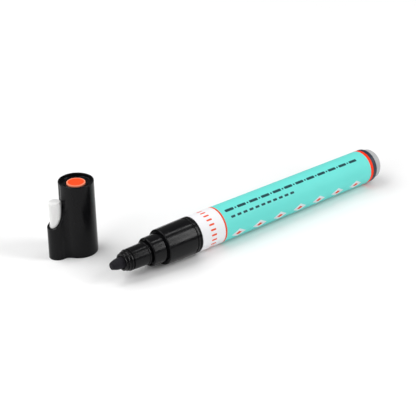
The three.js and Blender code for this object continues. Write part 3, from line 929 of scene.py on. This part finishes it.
def make_pocket_block(lobe):
    """The pocket's outside, from half-way through the body's wall: hollow fillet, lobe, hollow fillet."""
    to_body = CAP_RIM_RADIUS + POCKET_FILLET
    to_lobe = lobe + POCKET_FILLET
    along = (to_body**2 - to_lobe**2 + POCKET_DISTANCE**2) / (2 * POCKET_DISTANCE)
    aside = math.sqrt(to_body**2 - along**2)
    on_body = math.atan2(aside, along)
    on_lobe = math.atan2(aside, along - POCKET_DISTANCE)
    hidden = CAP_RIM_RADIUS - POCKET_ROOT
    skin = CAP_RIM_RADIUS - SINK
    hub = to_body - SINK
    block = start_outline("pocket_block", cap_place(hidden, -on_body))
    extrude_vertex(cap_place(skin, -on_body) - cap_place(hidden, -on_body))
    sweep(on_body - on_lobe, cap_place(hub, -on_body))
    sweep(2 * on_lobe, cap_place(POCKET_DISTANCE, 0), LOBE_STEPS)
    sweep(on_body - on_lobe, cap_place(hub, on_body))
    extrude_vertex(cap_place(hidden, on_body) - cap_place(skin, on_body))
    sweep(-2 * on_body, CAP_AXIS)
    bpy.ops.mesh.select_all(action="SELECT")
    bpy.ops.mesh.remove_doubles(threshold=POCKET_MERGE)
    bpy.ops.mesh.edge_face_add()
    bpy.ops.mesh.extrude_region_move(TRANSFORM_OT_translate={"value": (0, 0, SCOOP_TOP)})
    taper = radius_at(SCOOP_TOP) / CAP_RIM_RADIUS
    top = (CAP_AXIS.x, CAP_AXIS.y, SCOOP_TOP)
    bpy.ops.transform.resize(value=(taper, taper, 1), center_override=top)
    close_surface()
    return block


def make_scoop(lobe):
    """Cutter that lays the spare nib bare: it dips behind the mouth, climbs, and ends along the body."""
    mouth = POCKET_DISTANCE + lobe
    wall = radius_at(SCOOP_TOP) - SCOOP_SKIM
    pulls = (
        (mouth, SCOOP_MOUTH),
        (mouth - SCOOP_DIP_RUN, SCOOP_MOUTH - SCOOP_DIP),
        (wall, SCOOP_TOP - SCOOP_STEEP_RUN),
        (wall, SCOOP_TOP),
    )
    corners = [
        (SCOOP_TOP + OVERSHOOT, mouth + OVERSHOOT),
        (SCOOP_MOUTH, mouth + OVERSHOOT),
    ]
    for i in range(SCOOP_STEPS + 1):
        t = i / SCOOP_STEPS
        shares = ((1 - t) ** 3, 3 * t * (1 - t) ** 2, 3 * t * t * (1 - t), t**3)
        radius, z = (sum(share * pull[k] for share, pull in zip(shares, pulls)) for k in (0, 1))
        corners.append((z, radius))
    corners.append((SCOOP_TOP + OVERSHOOT, wall))
    return turn("scoop", corners, CAP_AXIS, False, closed=True)


def make_pocket_bore(height):
    corners = [
        (POCKET_FLOOR, 0),
        (POCKET_FLOOR, POCKET_RADIUS, SOFT_ROUND),
        (height + OVERSHOOT, POCKET_RADIUS),
        (height + OVERSHOOT, 0),
    ]
    return turn("pocket_bore", corners, cap_place(POCKET_DISTANCE, 0), False, steps=INNER_STEPS)


def on_pocket_foot(edge):
    """Whether an edge lies round the pocket's foot, outside the body."""
    return all(end.z < ON_TABLE and from_axis(end) > CAP_RIM_RADIUS + FOOT_CLEAR for end in ends(edge))


def on_mouth(edge):
    """Whether an edge is one of the crisp ones round the pocket's mouth and the scoop."""
    a, b = ends(edge)
    if min(a.z, b.z) < SCOOP_MOUTH - MOUTH_BELOW or max(a.z, b.z) > SCOOP_TOP - MOUTH_SHORT:
        return False
    if min(from_axis(a), from_axis(b)) <= radius_at(a.z) + MOUTH_CLEAR:
        return False
    return len(edge.link_faces) == 2 and edge.calc_face_angle(0) > math.radians(CRISP)


def make_cap_shell(black):
    low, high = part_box("cap_shell")
    lobe = cap_place(POCKET_DISTANCE, 0).x - low.x
    block = make_pocket_block(lobe)
    edit(block)
    pick(block, "EDGE", on_pocket_foot)
    bpy.ops.mesh.bevel(offset=FIRM_ROUND, segments=FOOT_SEGMENTS, affect="EDGES", clamp_overlap=True)
    bpy.ops.object.mode_set(mode="OBJECT")
    cut(block, make_scoop(lobe))
    shell = make_cap_body(high.z)
    cut(shell, block, "UNION")
    cut(shell, make_pocket_bore(high.z))
    shell.name = shell.data.name = "cap_with_pocket"
    # The block stops short of the body's skin by SINK, which leaves points as near to each other as that
    edit(shell)
    bpy.ops.mesh.select_all(action="SELECT")
    bpy.ops.mesh.remove_doubles(threshold=SINK)
    pick(shell, "EDGE", on_mouth)
    bpy.ops.mesh.bevel(offset=MOUTH_BEVEL, segments=MOUTH_SEGMENTS, affect="EDGES", clamp_overlap=False)
    # The bevel can leave slivers and small holes, which are taken away
    bpy.ops.mesh.select_mode(type="VERT")
    bpy.ops.mesh.select_all(action="SELECT")
    bpy.ops.mesh.remove_doubles(threshold=FINE_MERGE)
    bpy.ops.mesh.dissolve_degenerate(threshold=FINE_MERGE)
    bpy.ops.mesh.delete_loose(use_verts=True, use_edges=True, use_faces=False)
    fill_open_edges()
    close_surface(FINE_MERGE)
    smooth(shell, CAP_CRISP)
    dress(shell, "cap", "cap_plastic", black, "cap_shell")


def make_cap_liner():
    low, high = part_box("cap_liner")
    outer = LINER_BORE + LINER_WALL
    flange = outer + LINER_FLANGE_WIDTH
    flange_top = low.z + LINER_FLANGE_LENGTH
    step = low.z + LINER_DEPTH
    end = step + LINER_STEP_DEPTH
    corners = [
        (end, 0),
        (end, LINER_STEP_RADIUS, SOFT_ROUND),
        (step, LINER_STEP_RADIUS, EDGE_ROUND),
        (step, LINER_BORE, SOFT_ROUND),
        (low.z, LINER_BORE, FINE_ROUND),
        (low.z, flange, FINE_ROUND),
        (flange_top, flange, FINE_ROUND),
        (flange_top, outer, FINE_ROUND),
        (end + LINER_END, outer, FULL_ROUND),
        (end + LINER_END, LINER_POST_RADIUS, EDGE_ROUND),
        (high.z, LINER_POST_RADIUS, EDGE_ROUND),
        (high.z, 0),
    ]
    piece = turn("sealing_cup", corners, CAP_AXIS, False, steps=INNER_STEPS)
    smooth(piece)
    material = plain_moulding("liner_plastic", LINER, roughness=0.5)
    dress(piece, "cap", "liner_plastic", material, "cap_liner")


def make_cap_disc():
    low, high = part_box("cap_disc")
    radius = (high.y - low.y) / 2
    bottom = high.z - DISC_THICKNESS
    rim = radius - DISC_RIM_WIDTH
    flat = rim - DISC_RIM_SLOPE
    corners = [
        (low.z, 0),
        (low.z, DISC_PEG_RADIUS, EDGE_ROUND),
        (bottom, DISC_PEG_RADIUS),
        (bottom, radius),
        (high.z, radius, EDGE_ROUND),
        (high.z, rim, FAINT_ROUND),
        (high.z - DISC_RIM_HEIGHT, flat, FAINT_ROUND),
        (high.z - DISC_RIM_HEIGHT, 0),
    ]
    piece = turn("colour_disc", corners, CAP_AXIS, False)
    smooth(piece)
    dress(piece, "cap", "disc_plastic", disc_plastic(flat), "cap_disc")


def make_spare_nib():
    low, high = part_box("spare_nib")
    centre = middle("spare_nib")
    piece = turn("unused_nib", nib_corners(low.z, high.z), centre, False, steps=INNER_STEPS)
    smooth(piece, SOFT_CRISP)
    material = fibre("clean_fibre", *CLEAN_TONES, along=(1, 1, 14))
    dress(piece, "spare_nib", "clean_fibre", material, "spare_nib")


# The valve behind the nib, and the ball


def make_valve_seat():
    low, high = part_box("valve_seat")
    radius = (high.z - low.z) / 2
    corners = [
        (low.x, SEAT_HOLE_RADIUS, EDGE_ROUND),
        (low.x, radius, EDGE_ROUND),
        (high.x, radius, EDGE_ROUND),
        (high.x, SEAT_HOLE_RADIUS, EDGE_ROUND),
    ]
    piece = turn("rubber_seat", corners, AXIS, True, steps=INNER_STEPS, closed=True)
    smooth(piece)
    material = plain_moulding("seal_rubber", RUBBER, roughness=0.72)
    dress(piece, "barrel", "seal_rubber", material, "valve_seat")


def make_valve_stem(plastic):
    low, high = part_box("valve_stem")
    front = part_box("valve_cage")[0].x
    rear = front + STEM_HEAD_THICKNESS
    head = (high.z - low.z) / 2
    corners = [
        (low.x, 0),
        (low.x, STEM_RADIUS, BROAD_ROUND),
        (front, STEM_RADIUS, EDGE_ROUND),
        (front, head, BROAD_ROUND),
        (rear, head, EDGE_ROUND),
        (rear, GUIDE_RADIUS, EDGE_ROUND),
        (high.x, GUIDE_RADIUS, BROAD_ROUND),
        (high.x, 0),
    ]
    piece = turn("stem_rod", corners, AXIS, True, steps=INNER_STEPS)
    smooth(piece)
    dress(piece, "valve_stem", "valve_plastic", plastic, "valve_stem")


def make_window(start, end, tube, turned):
    """Cutter for one window in the cage's wall, turned round its axis."""
    deselect()
    bpy.ops.mesh.primitive_cube_add(size=1, location=(0, 0, 0))
    window = bpy.context.object
    bpy.ops.object.mode_set(mode="EDIT")
    bpy.ops.transform.resize(value=(end - start, WINDOW_WIDTH, 2 * tube), center_override=(0, 0, 0))
    pick(window, "EDGE", lambda edge: abs(ends(edge)[0].z - ends(edge)[1].z) > tube)
    bpy.ops.mesh.bevel(offset=FULL_ROUND, segments=ROUND_SEGMENTS, affect="EDGES")
    bpy.ops.mesh.select_all(action="SELECT")
    bpy.ops.transform.translate(value=(0, 0, tube))
    bpy.ops.transform.rotate(value=turned, orient_axis="X", center_override=(0, 0, 0))
    bpy.ops.transform.translate(value=((start + end) / 2, AXIS.y, AXIS.z))
    bpy.ops.object.mode_set(mode="OBJECT")
    return window


def make_valve_cage(plastic):
    low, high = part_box("valve_cage")
    flange = (high.z - low.z) / 2
    tube = flange - CAGE_FLANGE_WIDTH
    inside = tube - CAGE_WALL
    corners = [
        (low.x, inside, FINE_ROUND),
        (low.x, flange, EDGE_ROUND),
        (low.x + CAGE_FLANGE_LENGTH, flange, EDGE_ROUND),
        (low.x + CAGE_FLANGE_LENGTH, tube, EDGE_ROUND),
        (high.x, tube, SOFT_ROUND),
        (high.x, CAGE_HOLE_RADIUS, FINE_ROUND),
        (high.x - CAGE_END_WALL, CAGE_HOLE_RADIUS),
        (high.x - CAGE_END_WALL, inside),
    ]
    piece = turn("spring_cage", corners, AXIS, True, steps=INNER_STEPS, closed=True)
    start, end = low.x + WINDOW_FRONT, high.x - WINDOW_REAR
    for i in range(WINDOW_COUNT):
        turned = 2 * math.pi * (i + 0.5) / WINDOW_COUNT
        cut(piece, make_window(start, end, tube, turned))
    smooth(piece)
    dress(piece, "barrel", "valve_plastic", plastic, "valve_cage")


def make_valve_spring():
    low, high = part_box("valve_spring")
    wire = SPRING_WIRE_RADIUS
    coil = (high.z - low.z) / 2 - wire
    length = high.x - low.x
    deselect()
    place = (low.x + wire, AXIS.y, AXIS.z)
    bpy.ops.mesh.primitive_circle_add(vertices=WIRE_STEPS, radius=wire, location=place)
    piece = bpy.context.object
    piece.name = piece.data.name = "coil_spring"
    bpy.ops.object.mode_set(mode="EDIT")
    bpy.ops.mesh.select_all(action="SELECT")
    bpy.ops.transform.translate(value=(0, coil, 0))
    bpy.ops.object.mode_set(mode="OBJECT")
    screw = piece.modifiers.new("coils", "SCREW")
    screw.axis = "X"
    screw.angle = 2 * math.pi * SPRING_TURNS
    screw.screw_offset = length - 2 * wire
    screw.steps = screw.render_steps = COIL_STEPS * SPRING_TURNS
    bpy.ops.object.modifier_apply(modifier=screw.name)
    bpy.ops.object.transform_apply(location=True, rotation=True, scale=True)
    bpy.ops.object.mode_set(mode="EDIT")
    bpy.ops.mesh.select_mode(type="VERT")
    fill_open_edges()
    close_surface()
    smooth(piece, ROUND_CRISP)
    material = steel("spring_steel", roughness=0.28, stretch=(6, 1, 1))
    dress(piece, "barrel", "spring_steel", material, "valve_spring")
    # The stem's head presses it together against the end of its cage
    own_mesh(piece)


def make_mixing_ball():
    low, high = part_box("mixing_ball")
    radius = (high.x - low.x) / 2
    deselect()
    bpy.ops.mesh.primitive_cube_add(size=2, location=(0, 0, 0))
    piece = bpy.context.object
    piece.name = piece.data.name = "steel_ball"
    bpy.ops.object.mode_set(mode="EDIT")
    bpy.ops.mesh.subdivide(number_cuts=BALL_CUTS)
    bpy.ops.transform.tosphere(value=1)
    mesh = bmesh.from_edit_mesh(piece.data)
    mean = sum(vertex.co.length for vertex in mesh.verts) / len(mesh.verts)
    bpy.ops.transform.resize(value=(radius / mean,) * 3, center_override=(0, 0, 0))
    bpy.ops.transform.translate(value=(low + high) / 2)
    close_surface()
    smooth(piece, ROUND_CRISP)
    material = steel("ball_steel", roughness=0.12, stretch=(1, 1, 1))
    dress(piece, "mixing_ball", "ball_steel", material, "mixing_ball")


# The scene


def make_camera():
    camera = bpy.data.cameras.new("camera")
    camera.lens = LENS
    camera.sensor_width = SENSOR_WIDTH
    camera.clip_start = CLIP_START
    seat = bpy.data.objects.new("camera", camera)
    bpy.context.scene.collection.objects.link(seat)
    seat.location = CAMERA_PLACE
    look = Vector(CAMERA_AIM) - seat.location
    seat.rotation_euler = look.to_track_quat("-Z", "Y").to_euler()
    bpy.context.scene.camera = seat


def make_floor():
    """A white floor. It glows a little where it is seen, more and more away from the object."""
    deselect()
    bpy.ops.mesh.primitive_plane_add(size=FLOOR_SIZE, location=(0, 0, 0))
    floor = bpy.context.object
    floor.name = "floor"
    finish = Finish("floor", roughness=FLOOR_ROUGHNESS)
    rays = finish.add("ShaderNodeLightPath").socket.node
    camera, glossy, through = (
        Wire(finish.tree, rays.outputs[f"Is {kind} Ray"]) for kind in ("Camera", "Glossy", "Transmission")
    )
    distance = finish.add("ShaderNodeVectorMath", {0: finish.place}, output=1, operation="LENGTH")
    lift = (camera + glossy + through) * (distance.spread(**NEAR_GLOW) + distance.spread(**FAR_GLOW))
    finish.shader.inputs["Base Color"].default_value = (*(FLOOR_COLOUR,) * 3, 1)
    finish.shader.inputs["Emission Strength"].default_value = 1
    finish.link("Emission Color", finish.mix(lift, (0, 0, 0), (1, 1, 1)))
    floor.data.materials.append(finish.material)


def add_softbox(name, place, aim, width, length, radiance, long_axis):
    """A rectangular area light that faces a point, its length along long_axis as nearly as it can be."""
    light = bpy.data.lights.new(name, "AREA")
    light.shape = "RECTANGLE"
    light.size = width
    light.size_y = length
    light.energy = math.pi * width * length * radiance
    lamp = bpy.data.objects.new(name, light)
    bpy.context.scene.collection.objects.link(lamp)
    lamp.location = place
    back = (Vector(place) - Vector(aim)).normalized()
    across = Vector(long_axis).cross(back).normalized()
    lamp.rotation_euler = Matrix((across, back.cross(across), back)).transposed().to_euler()


def make_lights():
    world = bpy.data.worlds.new("studio")
    bpy.context.scene.world = world
    world.use_nodes = True
    background = world.node_tree.nodes["Background"]
    background.inputs["Color"].default_value = (1, 1, 1, 1)
    background.inputs["Strength"].default_value = WORLD_STRENGTH
    for softbox in SOFTBOXES:
        add_softbox(*softbox)


def main():
    make_camera()
    black = black_plastic("black_plastic")
    make_barrel()
    make_label()
    make_end_plug()
    make_collar(black)
    make_nozzle(black)
    make_nib()
    make_cap_shell(black_plastic("cap_plastic"))
    make_cap_liner()
    make_cap_disc()
    make_spare_nib()
    make_valve_seat()
    valve = plain_moulding("valve_plastic", VALVE, roughness=0.45)
    make_valve_stem(valve)
    make_valve_cage(valve)
    make_valve_spring()
    make_mixing_ball()
    make_floor()
    make_lights()


main()
bpy.context.scene.view_settings.view_transform = "Standard"
